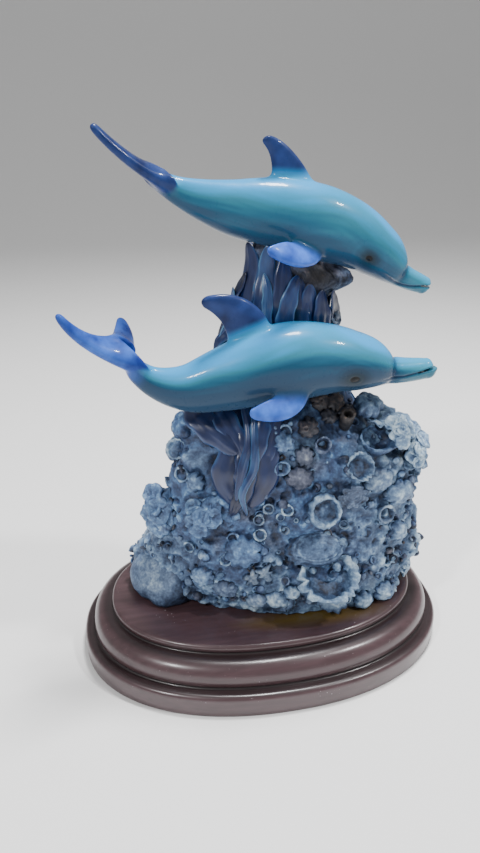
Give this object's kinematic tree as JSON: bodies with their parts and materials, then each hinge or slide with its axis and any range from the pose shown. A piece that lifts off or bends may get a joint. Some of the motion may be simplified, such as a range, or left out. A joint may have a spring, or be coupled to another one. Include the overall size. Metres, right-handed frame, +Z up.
{
  "type": "dolphin sculpture",
  "caption": "Painted resin ornament of a pair of leaping dolphins over a coral and kelp reef, on a stepped oval plinth.",
  "frame": {"origin": "centre of the plinth's underside", "axes": "+Z up, +X along the plinth towards the dolphins' heads, +Y towards the back of the ornament"},
  "size_m": [0.18, 0.124, 0.2358],
  "materials": {
    "plinth_lacquer": "dark brown satin lacquer on turned wood, a little dusty",
    "reef_resin": "matt cast resin, blue-grey with dry-brushed pale relief and brown patches",
    "dolphin_gloss": "cast resin, airbrushed teal blue over a navy belly, under clear gloss"
  },
  "bodies": {
    "root": {"plinth": "plinth_lacquer", "reef": "reef_resin", "lower_dolphin": "dolphin_gloss", "upper_dolphin": "dolphin_gloss"}
  },
  "joints": []
}
